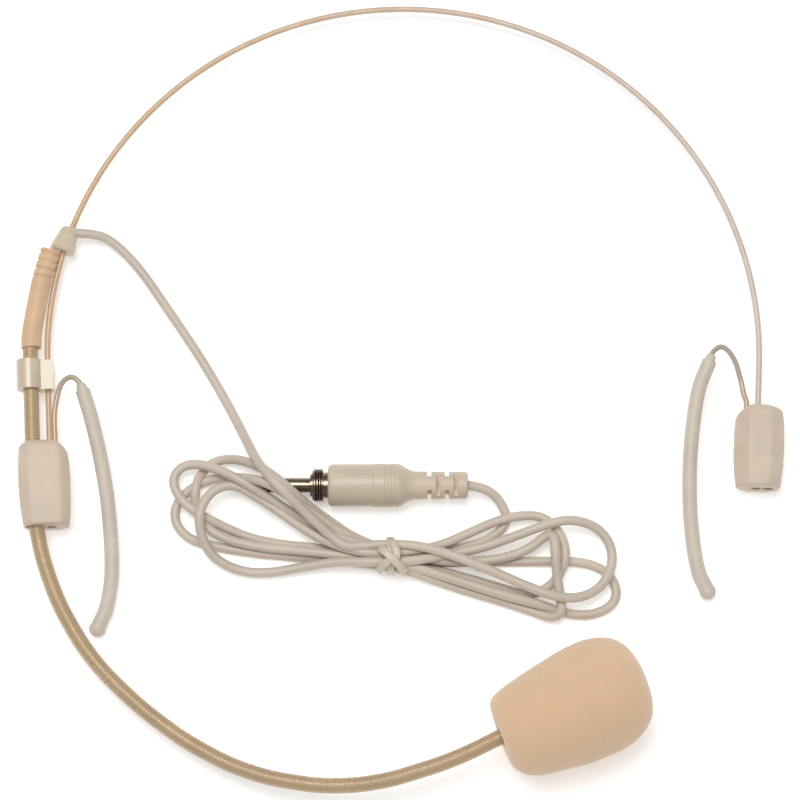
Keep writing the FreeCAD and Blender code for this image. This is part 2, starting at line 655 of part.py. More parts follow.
def make_lead():
    route = cord_route([Vector(*p) for p in LEAD_POINTS])
    lead = keep(swept_rod("lead", route, "cord_dia"), "lead_cable")
    short = cord_route([Vector(*p) for p in PLUG_LEAD_POINTS])
    tail = keep(swept_rod("plug_lead", short, "cord_dia"), "plug_lead_cable")
    return [(lead, route), (tail, short)]


def make_hank():
    """Both lobes of the tied hank as one solid, raised where its strands cross the pin."""
    floor = size("hank_floor")
    high = 2 * size("strand_layer") + size("hank_play")
    over_pin = size("plug_z") + size("pin_dia") / 2 + 2 * size("strand_layer")
    lobes = [slab("hank_left", HANK_LEFT, floor, high),
             slab("hank_right", HANK_RIGHT, floor, high + 0.8)]
    waist = box("hank_waist", (-6.2, -44.1, 0.8), (2.4, -37.1, 6.6))
    hump = doc.addObject("Part::Common", "hank_hump")
    hump.Base = slab("hank_hump_outline", HANK_LEFT, floor, over_pin)
    hump.Tool = box("hank_hump_limits", (-39.0, -30.5, 0), (-24.0, -12.5, over_pin + 1))
    whole = fused("hank_whole", lobes + [waist, hump])
    holes = [slab("hole_left", HOLE_LEFT, -1, 14), slab("hole_right", HOLE_RIGHT, -1, 14),
             rod("hank_pin_room", PLUG_ORIGIN - PLUG_AXIS * 0.5, PLUG_AXIS,
                 "pin_dia + 2 * skin", "pin_length + 2")]
    keep(cut("hank", whole, fused("hank_holes", holes)), "cord_hank")


TAIL_TURNS = (24, -30)


def make_tie():
    """A flat twist tie: a loop round the bundle and two tails crossing on top of it."""
    middle = Vector(size("tie_x"), size("tie_y"), size("tie_floor"))
    frame = Placement(middle, Rotation())
    wide = size("tie_width") / 2
    long = size("tie_length") / 2
    high = size("tie_height")
    wall = size("tie_thickness")
    outer = box("tie_outer", (-wide, -long, 0), (wide, long, high), frame)
    inner = box("tie_inner", (-2 * wide, wall - long, wall), (2 * wide, long - wall, high - wall),
                frame)
    pieces = [cut("tie_loop", outer, inner)]
    tail = Vector(size("tail_width") / 2, size("tail_length") / 2, size("tail_thickness"))
    for index, turn in enumerate(TAIL_TURNS):
        place = Placement(middle + Vector(0, 0, high - size("skin")),
                          Rotation(Vector(0, 0, 1), turn))
        pieces.append(box(f"tie_tail_{index}", (-tail.x, -tail.y, 0), tail, place))
    keep(fused("tie", pieces), "cord_tie")


# ------------------------------------------------------------------ plug
def make_plug_pin():
    """The pin's nested conductors and insulators, each reaching back to its solder lug."""
    place = along(PLUG_ORIGIN, PLUG_AXIS)
    rim = "pin_dia / 2"
    rod_radius = "tip_rod_dia / 2"
    liner = "tip_liner_dia / 2"
    ring_rod = "ring_rod_dia / 2"
    ring_liner = "ring_liner_dia / 2"
    # the ball-shaped tip and its waist, which a socket's spring catches
    waist = "0.66 * pin_dia / 2"
    keep(turned("plug_tip", [
        ("0", "0"), ("0", rod_radius), ("0.16 * tip_end", waist),
        ("0.39 * tip_end", "0.92 * pin_dia / 2"), ("0.55 * tip_end", rim),
        ("0.65 * tip_end", "0.92 * pin_dia / 2"), ("0.84 * tip_end", waist),
        ("tip_end", "0.83 * pin_dia / 2"), ("tip_end", rod_radius),
        ("sleeve_back + 1.9 * lug_step", rod_radius), ("sleeve_back + 1.9 * lug_step", "0")],
        place), "plug_tip")
    keep(turned("plug_tip_insulator", [
        ("tip_end", rod_radius), ("sleeve_back - 0.1", rod_radius), ("sleeve_back - 0.1", liner),
        ("tip_gap_end", liner), ("tip_gap_end", rim), ("tip_end", rim)], place),
        "plug_tip_insulator")
    keep(turned("plug_ring", [
        ("tip_gap_end", liner), ("sleeve_back + 0.9 * lug_step", liner),
        ("sleeve_back + 0.9 * lug_step", ring_rod), ("ring_end", ring_rod), ("ring_end", rim),
        ("tip_gap_end", rim)], place), "plug_ring")
    keep(turned("plug_ring_insulator", [
        ("ring_end", ring_rod), ("sleeve_back - 0.6", ring_rod),
        ("sleeve_back - 0.6", ring_liner), ("ring_gap_end", ring_liner), ("ring_gap_end", rim),
        ("ring_end", rim)], place), "plug_ring_insulator")
    neck = "neck_dia / 2"
    collar_end = "pin_length + lock_length + 0.1"
    flange = "neck_dia / 2 + 0.6"
    shoulder = "neck_dia / 2 + 0.25"
    keep(turned("plug_sleeve", [
        ("ring_gap_end", ring_liner), ("sleeve_back", ring_liner),
        ("sleeve_back", "handle_bore / 2"), ("handle_start", "handle_bore / 2"),
        ("handle_start", flange), (collar_end, flange), (collar_end, neck),
        ("pin_length - 0.1", neck), ("pin_length - 0.1", shoulder),
        ("pin_length - 0.5", shoulder), ("pin_length - 0.5", rim), ("ring_gap_end", rim)],
        place), "plug_sleeve")


CREST_COUNT = 4


def make_lock_collar():
    """The threaded ring that screws the plug to its socket; the thread is drawn as grooves."""
    inside = "neck_dia / 2 + lock_clearance"
    outline = [("pin_length", inside), ("pin_length + lock_length", inside),
               ("pin_length + lock_length", "lock_dia / 2 - 0.35")]
    for turn in range(CREST_COUNT, 0, -1):
        crest = f"pin_length + {turn} * lock_pitch"
        outline += [(f"{crest} + 0.2 * lock_pitch", "lock_dia / 2"),
                    (f"{crest} - 0.2 * lock_pitch", "lock_dia / 2"),
                    (f"{crest} - lock_pitch / 2", "lock_dia / 2 - 0.4")]
    outline += [("pin_length", "lock_dia / 2 - 0.45")]
    keep(turned("plug_lock_collar", outline, along(PLUG_ORIGIN, PLUG_AXIS)), "plug_lock_collar")


def make_plug_handle():
    """The grip: a plain barrel, a thicker band with grooves, and a taper to the boot."""
    place = along(PLUG_ORIGIN, PLUG_AXIS)
    boot = "boot_dia / 2"
    band = "grip_band_dia / 2"
    outline = [("handle_start", "handle_bore / 2"), ("handle_end", "handle_bore / 2"),
               ("handle_end", f"{boot} - boot_wall"), ("taper_end", f"{boot} - boot_wall"),
               ("taper_end", boot)]
    # the taper, as shares of its length and of the step from band to boot
    for share, step in ((0.8, 0.08), (0.55, 0.28), (0.3, 0.58), (0.1, 0.82), (-0.1, 0.96)):
        outline.append((f"handle_end + {share} * (taper_end - handle_end)",
                        f"{boot} + {step} * ({band} - {boot})"))
    for index in range(GROOVE_COUNT):
        near = f"handle_end - groove_start - groove_pitch * {index}"
        bottom = f"{band} - groove_depth"
        outline += [(near, band), (f"{near} - groove_width / 3", bottom),
                    (f"{near} - groove_width * 2 / 3", bottom), (f"{near} - groove_width", band)]
    outline += [("grip_band_start", band), ("grip_band_start - 0.6", "handle_dia / 2"),
                ("handle_start + 1.0", "handle_dia / 2"),
                ("handle_start + 0.3", "handle_dia / 2 - 0.3"),
                ("handle_start", "handle_dia / 2 - 0.9")]
    keep(turned("plug_handle", outline, place), "plug_handle")


SLOT_COUNT = 4


def make_plug_boot():
    """The flexible boot; slots from both sides, then from above and below, let it bend."""
    place = along(PLUG_ORIGIN, PLUG_AXIS)
    start = "handle_end + 0.4"
    bore = "cord_dia / 2 + core_gap"
    lap = "boot_dia / 2 - boot_wall"
    body = turned("plug_boot_body", [
        (start, bore), ("boot_end", bore), ("boot_end", "boot_end_dia / 2 - 0.4"),
        ("boot_end - 0.4", "boot_end_dia / 2"), ("taper_end", "boot_dia / 2"),
        ("taper_end", lap), (start, lap)], place)
    radius = size("boot_dia") / 2
    slots = []
    for index in range(SLOT_COUNT):
        near = size("slot_start") + index * size("slot_pitch")
        for turn in (90 * index, 90 * index + 180):
            slots.append(box(
                f"boot_slot_{index}_{turn}", (near, radius / 2, -radius),
                (near + size("boot_slot"), 2 * radius, radius),
                place * Placement(Vector(), Rotation(Vector(1, 0, 0), turn))))
    core = rod("boot_core", PLUG_ORIGIN, PLUG_AXIS, "cord_dia + 2 * boot_core", "boot_end + 1")
    keep(cut("plug_boot_cut", body, cut("boot_slot_tools", fused("boot_slots", slots), core)),
         "plug_boot")


# each solder lug: where it starts and ends along the plug, and its lower and upper face
LUGS = {"tip": (21.55, 25.5, -0.2, 0.2), "ring": (20.55, 24.5, 1.2, 1.5),
        "sleeve": (19.65, 27.0, -2.4, -2.05)}


def make_plug_inside():
    """The solder lugs, the clamp on the lead and the lead's tail inside the plug."""
    place = along(PLUG_ORIGIN, PLUG_AXIS)
    half = size("tip_rod_dia")
    lugs = [box(f"lug_{name}", (start, -half, low), (end, half, high), place)
            for name, (start, end, low, high) in LUGS.items()]
    lug_group = doc.addObject("Part::Compound", "solder_lugs")
    lug_group.Links = lugs
    keep(lug_group, "plug_solder_lugs")
    keep(turned("plug_cable_clamp", ring_outline(
        "handle_end - clamp_back", "handle_end - clamp_back + clamp_length",
        "handle_bore / 2 - 0.1", "cord_dia / 2 + core_gap"), place), "plug_cable_clamp")
    start = PLUG_ORIGIN + PLUG_AXIS * (size("handle_end") - size("tail_buried"))
    keep(rod("cable_tail", start, PLUG_AXIS, "cord_dia",
             "boot_end - handle_end + tail_buried - skin"), "plug_cable_tail")


# ------------------------------------------------------------------ the whole headset
def check(item):
    if {"Invalid", "Error"} & set(item.State):
        raise RuntimeError(f"{item.Label} failed: {item.State}")


make_band()
for side, name in ((LEFT, "left"), (RIGHT, "right")):
    make_block(side, name)
    make_hook(side, name)
make_boom()
make_strain_relief()
make_boom_clip()
make_cable_clip()
make_microphone()
make_windscreen()
cords = make_lead()
make_hank()
make_tie()
make_plug_pin()
make_lock_collar()
make_plug_handle()
make_plug_boot()
make_plug_inside()
doc.recompute()

for item in doc.Objects:
    check(item)
for item in NODES:
    if item.Shape.isNull() or not item.Shape.isValid() or not item.Shape.Solids:
        raise RuntimeError(f"{item.Label} has no valid solid")
for item, route in cords:
    length = sum(edge.Length for edge in route)
    expected = math.pi * (size("cord_dia") / 2) ** 2 * length
    print(item.Label, "length", round(length, 1), "volume ratio",
          round(item.Shape.Volume / expected, 4))
for item in NODES:
    item.Shape.exportStep(f"parts/{item.Label}.step")
print(len(NODES), "parts written")
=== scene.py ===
import json
import math

import bmesh
import bpy
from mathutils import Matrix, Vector, noise


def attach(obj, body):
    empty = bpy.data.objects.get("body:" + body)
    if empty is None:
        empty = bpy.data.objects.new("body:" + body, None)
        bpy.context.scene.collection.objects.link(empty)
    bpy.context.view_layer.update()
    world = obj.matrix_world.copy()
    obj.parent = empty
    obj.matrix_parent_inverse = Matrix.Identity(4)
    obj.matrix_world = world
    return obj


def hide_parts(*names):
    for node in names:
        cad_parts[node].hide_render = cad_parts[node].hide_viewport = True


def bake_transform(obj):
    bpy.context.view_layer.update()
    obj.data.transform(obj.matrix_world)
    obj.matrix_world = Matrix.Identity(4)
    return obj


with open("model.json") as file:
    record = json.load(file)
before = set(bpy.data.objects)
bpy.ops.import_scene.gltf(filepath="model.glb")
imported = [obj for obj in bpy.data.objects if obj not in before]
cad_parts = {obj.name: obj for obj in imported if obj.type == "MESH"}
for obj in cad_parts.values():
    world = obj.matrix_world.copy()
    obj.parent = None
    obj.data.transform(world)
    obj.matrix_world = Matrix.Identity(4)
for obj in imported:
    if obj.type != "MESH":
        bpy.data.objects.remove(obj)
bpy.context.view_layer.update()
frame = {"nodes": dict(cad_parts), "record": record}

# A behind-the-head headset microphone lying on a pale table, in metres, in the CAD's frame.
# Lengths are written in millimetres and turned into metres by mm().

MILLIMETRE = 0.001
LEFT, RIGHT = -1, 1


def mm(*values):
    """One length, or a point, written in millimetres."""
    if len(values) == 1:
        return values[0] * MILLIMETRE
    return Vector(values) * MILLIMETRE


# ------------------------------------------------------------------ camera
CAMERA_RISE = math.radians(77)
CAMERA_DISTANCE = mm(700)
CAMERA_AIM = mm(0, -2.5, 4)
# as on the lens, in millimetres
SENSOR_WIDTH, FOCAL_LENGTH = 36, 130.7


def make_camera():
    """Almost straight above the table, a little from the microphone's side."""
    data = bpy.data.cameras.new("view")
    data.sensor_width = SENSOR_WIDTH
    data.lens = FOCAL_LENGTH
    data.clip_start = 0.05
    data.clip_end = 20
    camera = bpy.data.objects.new("view", data)
    backward = Vector((0, -math.cos(CAMERA_RISE), math.sin(CAMERA_RISE)))
    camera.location = CAMERA_AIM + backward * CAMERA_DISTANCE
    camera.rotation_euler = (math.pi / 2 - CAMERA_RISE, 0, 0)
    bpy.context.scene.collection.objects.link(camera)
    bpy.context.scene.camera = camera


# ------------------------------------------------------------------ the cord's route
CORD_DIAMETER = mm(2.3)

# from the cable clip down to the table and up over the plug's pin
LEAD = [(-79.6, 39.0, 5.0), (-74.0, 39.2, 4.2), (-69.4, 36.9, 3.0), (-63.5, 30.9, 1.7),
        (-57.0, 21.4, 1.2), (-48.8, 9.3, 1.2), (-42.1, -2.1, 1.3), (-37.2, -11.9, 4.0),
        (-34.2, -18.3, 8.0), (-31.0, -23.0, 11.9), (-27.3, -26.6, 11.7), (-22.3, -31.2, 8.8),
        (-16.8, -36.0, 7.0), (-13.0, -39.0, 6.9), (-8.5, -38.6, 6.7), (-3.0, -38.2, 6.4)]
# the hank's loops, in the order that the cord runs through them; each passes the tie
RIGHT_FRONT = [(4.5, -38.5, 6.5), (13.0, -41.0, 6.7), (21.5, -44.5, 6.4), (29.5, -48.0, 6.2),
               (36.5, -50.8, 6.2), (42.5, -51.0, 5.0), (47.5, -48.5, 4.0), (50.5, -43.5, 3.7),
               (50.5, -38.0, 3.7), (47.0, -33.5, 4.4), (40.5, -32.0, 6.4), (34.5, -33.5, 6.4),
               (27.5, -36.0, 5.2), (20.0, -38.5, 4.0), (12.0, -40.3, 4.1), (2.5, -42.3, 6.3)]
LEFT_FRONT = [(-7.0, -42.4, 6.2), (-15.5, -42.0, 4.2), (-24.0, -43.2, 2.6), (-31.5, -44.5, 2.0),
              (-38.5, -44.0, 2.0), (-44.5, -41.0, 3.2), (-47.0, -37.0, 4.6), (-48.0, -32.5, 6.0),
              (-47.0, -28.0, 6.2), (-44.0, -24.5, 5.9), (-39.5, -23.5, 5.4), (-35.0, -26.0, 4.9),
              (-29.0, -29.8, 4.6), (-23.0, -34.2, 4.6), (-15.5, -38.4, 5.4), (-7.0, -40.6, 6.4)]
RIGHT_UPPER = [(2.0, -39.8, 5.2), (9.5, -38.2, 3.9), (16.5, -35.0, 3.6), (23.0, -32.0, 3.6),
               (29.5, -30.5, 3.4), (34.5, -31.0, 3.4), (38.0, -34.5, 3.6), (39.7, -39.3, 3.7),
               (38.7, -43.7, 3.2), (36.0, -47.5, 1.6), (31.0, -49.8, 1.2), (24.0, -47.9, 1.2),
               (15.5, -45.3, 1.2), (7.0, -43.3, 1.6), (-0.5, -41.6, 2.0)]
LEFT_OUTER = [(-8.5, -40.4, 2.0), (-19.0, -38.3, 1.5), (-27.5, -37.5, 1.3), (-35.5, -36.0, 1.3),
              (-41.5, -33.5, 2.0), (-48.0, -30.5, 3.7), (-52.5, -27.0, 3.9), (-54.7, -22.5, 3.9),
              (-52.8, -18.9, 3.9), (-48.3, -18.1, 4.3), (-43.0, -20.2, 6.0), (-38.5, -22.6, 7.2),
              (-33.0, -25.8, 6.2), (-26.5, -29.8, 4.6), (-19.5, -33.8, 4.2), (-13.0, -36.7, 4.1),
              (-6.5, -38.6, 4.3)]
RIGHT_FOLDED = [(2.0, -39.8, 3.6), (9.5, -41.9, 3.5), (18.0, -42.0, 3.6), (25.0, -41.0, 3.6),
                (31.0, -38.8, 3.6), (35.2, -35.3, 5.0), (36.8, -36.6, 6.2), (36.9, -41.0, 6.2),
                (37.3, -46.0, 4.6), (38.0, -50.5, 3.9), (38.6, -54.2, 3.6), (36.0, -55.3, 2.4),
                (31.5, -53.5, 1.3), (25.0, -51.3, 1.2), (16.5, -48.8, 1.2), (8.5, -46.2, 1.9),
                (1.0, -43.6, 3.6)]
LEFT_MIDDLE = [(-8.0, -42.4, 3.2), (-19.0, -40.9, 1.4), (-27.5, -40.1, 1.2), (-36.0, -39.3, 1.2),
               (-44.0, -37.9, 1.2), (-50.0, -36.4, 1.4), (-53.6, -33.0, 1.6), (-54.2, -28.5, 1.6),
               (-51.3, -24.5, 1.6), (-46.5, -21.7, 1.6), (-40.0, -21.3, 3.6), (-34.0, -23.0, 8.9),
               (-29.0, -25.2, 9.4), (-24.5, -28.0, 6.6), (-18.0, -32.4, 4.3), (-12.0, -36.0, 3.2),
               (-6.0, -38.8, 2.1)]
RIGHT_OUTER = [(1.0, -40.8, 1.4), (9.5, -41.8, 1.2), (19.0, -41.5, 1.2), (28.5, -41.5, 1.2),
               (37.0, -41.4, 1.2), (44.0, -41.6, 1.2), (49.5, -43.8, 1.2), (52.0, -48.5, 1.2),
               (50.5, -52.3, 1.2), (45.5, -54.5, 1.2), (39.5, -54.1, 1.2), (33.5, -52.2, 3.2),
               (25.5, -50.2, 3.5), (16.5, -47.3, 3.4), (8.5, -44.8, 3.9), (1.0, -42.6, 4.3)]
LEFT_UPPER = [(-7.0, -41.4, 4.2), (-15.5, -40.2, 3.8), (-24.0, -39.2, 3.5), (-33.0, -38.4, 3.2),
              (-40.5, -36.8, 2.9), (-46.0, -34.0, 3.2), (-49.0, -29.5, 1.6), (-49.2, -24.0, 3.6),
              (-47.6, -19.5, 1.4), (-44.5, -16.9, 1.4), (-39.5, -16.7, 3.0), (-34.5, -18.9, 6.2),
              (-30.5, -21.6, 8.6), (-26.0, -25.4, 8.0), (-21.5, -28.9, 4.2), (-16.5, -32.1, 2.2),
              (-11.5, -35.4, 1.4), (-5.0, -38.2, 1.4)]
# out of the tie, under the first loop and into the plug's boot
PLUG_LEAD = [(1.0, -39.1, 1.2), (8.5, -39.0, 1.2), (15.5, -38.0, 1.2), (21.3, -36.3, 1.2),
             (25.7, -32.4, 1.9), (25.2, -29.4, 2.6), (23.1, -26.1, 3.8), (19.8, -24.1, 4.8),
             (16.2, -23.7, 5.2)]
ROUTE = (LEAD + RIGHT_FRONT + LEFT_FRONT + RIGHT_UPPER + LEFT_OUTER + RIGHT_FOLDED
         + LEFT_MIDDLE + RIGHT_OUTER + LEFT_UPPER + PLUG_LEAD)


# ------------------------------------------------------------------ materials
def colour(red, green, blue):
    """A colour given as 0 to 255 screen values."""
    parts = [value / 255 for value in (red, green, blue)]
    linear = [part / 12.92 if part < 0.04 else ((part + 0.055) / 1.055) ** 2.4 for part in parts]
    return (*linear, 1)


def shaded(rgb, share):
    """The same colour, lighter or darker."""
    return tuple(min(255, value * share) for value in rgb)


def add(tree, kind, inputs, **settings):
    """A node with its settings, and its inputs set to values or linked to sockets."""
    node = tree.nodes.new(kind)
    for name, value in settings.items():
        setattr(node, name, value)
    for name, value in inputs.items():
        if isinstance(value, bpy.types.NodeSocket):
            tree.links.new(value, node.inputs[name])
        else:
            node.inputs[name].default_value = value
    return node


def ramp(tree, factor, stops):
    """A colour ramp; stops are (place, colour) pairs."""
    node = add(tree, "ShaderNodeValToRGB", {"Fac": factor})
    elements = node.color_ramp.elements
    while len(elements) < len(stops):
        elements.new(0.5)
    for element, (place, tint) in zip(elements, stops):
        element.position = place
        element.color = tint
    return node.outputs["Color"]


def clouds(tree, place, grain, detail=3.0, rough=0.55):
    """Noise whose patches are about one grain across."""
    return add(tree, "ShaderNodeTexNoise", {
        "Vector": place, "Scale": 1 / grain, "Detail": detail, "Roughness": rough},
    ).outputs["Fac"]


def between(tree, factor, low, high):
    """A noise's middle values spread from low to high."""
    return add(tree, "ShaderNodeMapRange", {
        "Value": factor, "From Min": 0.3, "From Max": 0.7, "To Min": low, "To Max": high},
    ).outputs["Result"]


def start_material(name):
    """A new material; gives the material, its node tree, shader and object coordinates."""
    material = bpy.data.materials.new(name)
    material.use_nodes = True
    tree = material.node_tree
    shader = tree.nodes["Principled BSDF"]
    place = add(tree, "ShaderNodeTexCoord", {}).outputs["Object"]
    return material, tree, shader, place


def finish_shader(tree, shader, base, rough, height, depth, strength, constants):
    """Links a shader's colour, roughness and fine relief, and sets its constants."""
    bump = add(tree, "ShaderNodeBump", {
        "Height": height, "Distance": depth, "Strength": strength}).outputs["Normal"]
    tree.links.new(base, shader.inputs["Base Color"])
    tree.links.new(rough, shader.inputs["Roughness"])
    tree.links.new(bump, shader.inputs["Normal"])
    for name, value in constants.items():
        shader.inputs[name].default_value = value


def moulded(name, rgb, rough=(0.35, 0.5), patch=mm(7), speck=mm(0.25), spread=0.06,
            depth=mm(0.02), strength=0.5, **constants):
    """Moulded plastic or rubber: broad drifts of shade, fine specks and a fine skin."""
    material, tree, shader, place = start_material(name)
    broad = clouds(tree, place, patch)
    fine = clouds(tree, place, speck, 2.0)
    drift = ramp(tree, broad, [(0.3, colour(*shaded(rgb, 1 - spread))), (0.5, colour(*rgb)),
                               (0.7, colour(*shaded(rgb, 1 + spread)))])
    specks = ramp(tree, fine, [(0.35, colour(*shaded(rgb, 1 - 1.4 * spread))),
                               (0.65, colour(*shaded(rgb, 1 + spread)))])
    base = add(tree, "ShaderNodeMixRGB", {
        "Fac": between(tree, fine, 0.05, 0.45), "Color1": drift, "Color2": specks})
    finish_shader(tree, shader, base.outputs["Color"], between(tree, broad, *rough), fine,
                  depth, strength, constants)
    return material


def metal(name, rgb, rough=(0.18, 0.36), speck=mm(0.15)):
    """Plated metal with fine turning marks and slight stains."""
    material, tree, shader, place = start_material(name)
    broad = clouds(tree, place, mm(1.5), 4.0)
    fine = clouds(tree, place, speck, 3.0)
    base = ramp(tree, broad, [(0.25, colour(*shaded(rgb, 0.62))), (0.5, colour(*rgb)),
                              (0.75, colour(*shaded(rgb, 1.18)))])
    finish_shader(tree, shader, base, between(tree, fine, *rough), fine, mm(0.01), 0.4,
                  {"Metallic": 1.0})
    return material


def two_tone(name, first, second, axis, start, end, **constants):
    """A coating whose colour drifts from one tone to another along one axis."""
    material, tree, shader, place = start_material(name)
    fine = clouds(tree, place, mm(0.3))
    broad = clouds(tree, place, mm(6))
    parts = add(tree, "ShaderNodeSeparateXYZ", {"Vector": place})
    way = add(tree, "ShaderNodeMapRange", {
        "Value": parts.outputs[axis], "From Min": start, "From Max": end})
    shift = ramp(tree, way.outputs["Result"], [(0.0, colour(*first)), (1.0, colour(*second))])
    drift = ramp(tree, broad, [(0.3, colour(*shaded(first, 0.86))),
                               (0.7, colour(*shaded(second, 1.05)))])
    base = add(tree, "ShaderNodeMixRGB", {
        "Fac": between(tree, fine, 0.05, 0.4), "Color1": shift, "Color2": drift})
    finish_shader(tree, shader, base.outputs["Color"], between(tree, fine, 0.25, 0.42), fine,
                  mm(0.02), 0.4, constants)
    return material


def foam_material():
    """Open-cell foam: small soft pores with painted shade in their hollows, a fuzzy sheen and warm
    light inside.
    """
    rgb = (220, 186, 151)
    material, tree, shader, place = start_material("foam_skin")
    cells = add(tree, "ShaderNodeTexVoronoi", {"Vector": place, "Scale": 1 / mm(0.42)},
                feature="SMOOTH_F1").outputs["Distance"]
    fuzz = clouds(tree, place, mm(0.5), 5.0, 0.7)
    broad = clouds(tree, place, mm(9))
    drift = ramp(tree, broad, [(0.3, colour(*shaded(rgb, 0.985))), (0.7, colour(*rgb))])
    # the pores' hollows, low in the bump, are painted a little darker: painted shade
    pores = ramp(tree, cells, [(0.2, colour(*shaded(rgb, 1.01))),
                               (0.75, colour(*shaded(rgb, 0.955)))])
    base = add(tree, "ShaderNodeMixRGB", {
        "Fac": between(tree, fuzz, 0.25, 0.6), "Color1": drift, "Color2": pores})
    height = add(tree, "ShaderNodeMath", {0: fuzz, 1: cells}, operation="SUBTRACT")
    finish_shader(tree, shader, base.outputs["Color"], between(tree, fuzz, 0.85, 1.0),
                  height.outputs["Value"], mm(0.12), 0.4,
                  {"Sheen Weight": 0.35, "Sheen Roughness": 0.6, "Subsurface Weight": 0.25,
                   "Subsurface Scale": mm(2.5), "Specular IOR Level": 0.15})
    return material


def wound_material():
    """The gooseneck's lacquered winding: golden, with painted shade in its valleys and a painted
    highlight on its crests beside the coat's own glints.
    """
    rgb = (184, 158, 124)
    material, tree, shader, place = start_material("wound_lacquer")
    fine = clouds(tree, place, mm(0.35), 4.0, 0.65)
    broad = clouds(tree, place, mm(5))
    crest = add(tree, "ShaderNodeNewGeometry", {}).outputs["Pointiness"]
    # the colour follows the winding's relief: painted shade in the valleys, a painted highlight on
    # the crests
    valley_shade_crest_highlight = add(tree, "ShaderNodeMapRange", {
        "Value": crest, "From Min": 0.46, "From Max": 0.56}).outputs["Result"]
    tone = ramp(tree, valley_shade_crest_highlight, [(0.0, colour(126, 100, 74)), (0.45, colour(*rgb)),
                             (1.0, colour(204, 180, 146))])
    drift = ramp(tree, broad, [(0.3, colour(172, 144, 110)), (0.7, colour(200, 174, 138))])
    base = add(tree, "ShaderNodeMixRGB", {
        "Fac": between(tree, fine, 0.1, 0.45), "Color1": tone, "Color2": drift})
    finish_shader(tree, shader, base.outputs["Color"], between(tree, fine, 0.18, 0.6), fine,
                  mm(0.03), 0.7, {"Metallic": 0.25, "Coat Weight": 0.25, "Coat Roughness": 0.2})
    return material


BEIGE = (208, 190, 171)
SOFT_LIGHT = {"Subsurface Weight": 0.12, "Subsurface Scale": mm(1.0)}

MATERIALS = {
    "coated_wire": two_tone("wire_coat", (200, 166, 127), (205, 190, 178), "X", mm(-70), mm(80),
                            **{"Coat Weight": 0.3}),
    "spring_steel": metal("spring_wire", (168, 166, 162)),
    "block_plastic": moulded("block_skin", BEIGE, (0.48, 0.6), spread=0.04, **SOFT_LIGHT),
    "grip_rubber": moulded("grip_skin", (58, 48, 42), (0.6, 0.8)),
    "brass_insert": metal("brass_skin", (196, 160, 96)),
    "hook_wire_coat": two_tone("hook_coat", (192, 160, 122), (178, 170, 158), "Y", mm(-8), mm(6),
                               **{"Coat Weight": 0.4, "Metallic": 0.15}),
    "hook_sleeve_soft": moulded("sleeve_skin", (203, 192, 178), (0.38, 0.52), spread=0.04,
                                **SOFT_LIGHT),
    "relief_rubber": moulded("relief_skin", (208, 175, 140), (0.42, 0.58), spread=0.05,
                             **SOFT_LIGHT),
    "gooseneck_wound": wound_material(),
    "clip_plastic": moulded("clip_skin", (205, 188, 165), (0.2, 0.32), spread=0.03,
                            **{"Coat Weight": 0.4, "Coat Roughness": 0.12}, **SOFT_LIGHT),
    "foam": foam_material(),
    "mic_metal": metal("mic_skin", (120, 104, 84), (0.3, 0.45)),
    "capsule_metal": metal("capsule_skin", (150, 148, 144)),
    "board": moulded("board_skin", (44, 84, 52), (0.4, 0.6)),
    "cord_jacket": moulded("cord_skin", (198, 186, 171), (0.36, 0.5), patch=mm(12),
                           speck=mm(0.35), spread=0.04, **SOFT_LIGHT),
    "tie_plastic": moulded("tie_skin", (206, 194, 176), (0.3, 0.45), **SOFT_LIGHT),
    "nickel": metal("nickel_skin", (134, 118, 102), (0.14, 0.3)),
    "insulator_black": moulded("insulator_skin", (30, 28, 28), (0.35, 0.5)),
    "handle_plastic": moulded("handle_skin", (200, 185, 165), (0.32, 0.46), spread=0.03,
                              **SOFT_LIGHT),
    "boot_rubber": moulded("boot_skin", (204, 187, 167), (0.42, 0.56), spread=0.035,
                           **SOFT_LIGHT),
    "solder_tin": metal("tin_skin", (176, 174, 170), (0.3, 0.5)),
    "copper_core": metal("copper_skin", (190, 120, 84)),
}


def dress(piece, slot):
    """Gives a piece its material."""
    piece.data.materials.clear()
    piece.data.materials.append(MATERIALS[slot])
    return piece


# how wide the moulded edges of a CAD node are rounded
SOFT_EDGES = {"cable_clip": mm(0.3)}
BEVELLED_FROM = math.radians(40)


def dress_cad_nodes():
    """Gives every piece that comes from the CAD the material of its slot."""
    slots = {}
    for row in frame["record"]["materials"]:
        for node in row.get("nodes", []):
            slots[node] = row["slot"]
    for name, piece in frame["nodes"].items():
        slot = slots.get(name) or piece.material_slots[0].material.name
        for place in piece.material_slots:
            place.material = MATERIALS[slot]
        if name in SOFT_EDGES:
            bevel = piece.modifiers.new("soft_edges", "BEVEL")
            bevel.width = SOFT_EDGES[name]
            bevel.segments = 3
            bevel.limit_method = "ANGLE"
            bevel.angle_limit = BEVELLED_FROM


# ------------------------------------------------------------------ mesh helpers
def link(name, data):
    piece = bpy.data.objects.new(name, data)
    bpy.context.scene.collection.objects.link(piece)
    return piece


def mesh_piece(name, points, faces, smooth=True):
    data = bpy.data.meshes.new(name)
    data.from_pydata([tuple(point) for point in points], [], faces)
    data.validate()
    data.update()
    for face in data.polygons:
        face.use_smooth = smooth
    return link(name, data)


def ring_faces(rings, sides):
    """The faces of a closed skin over rings of points, with both of its ends filled."""
    faces = []
    for ring in range(rings - 1):
        for side in range(sides):
            near = ring * sides
            after = (side + 1) % sides
            faces.append((near + side, near + after, near + sides + after, near + sides + side))
    faces.append(tuple(reversed(range(sides))))
    faces.append(tuple(range((rings - 1) * sides, rings * sides)))
    return faces


def line_points(curve):
    """The points along a curve with no bevel."""
    depsgraph = bpy.context.evaluated_depsgraph_get()
    mesh = bpy.data.meshes.new_from_object(curve.evaluated_get(depsgraph))
    points = [Vector(vertex.co) for vertex in mesh.vertices]
    bpy.data.meshes.remove(mesh)
    return points


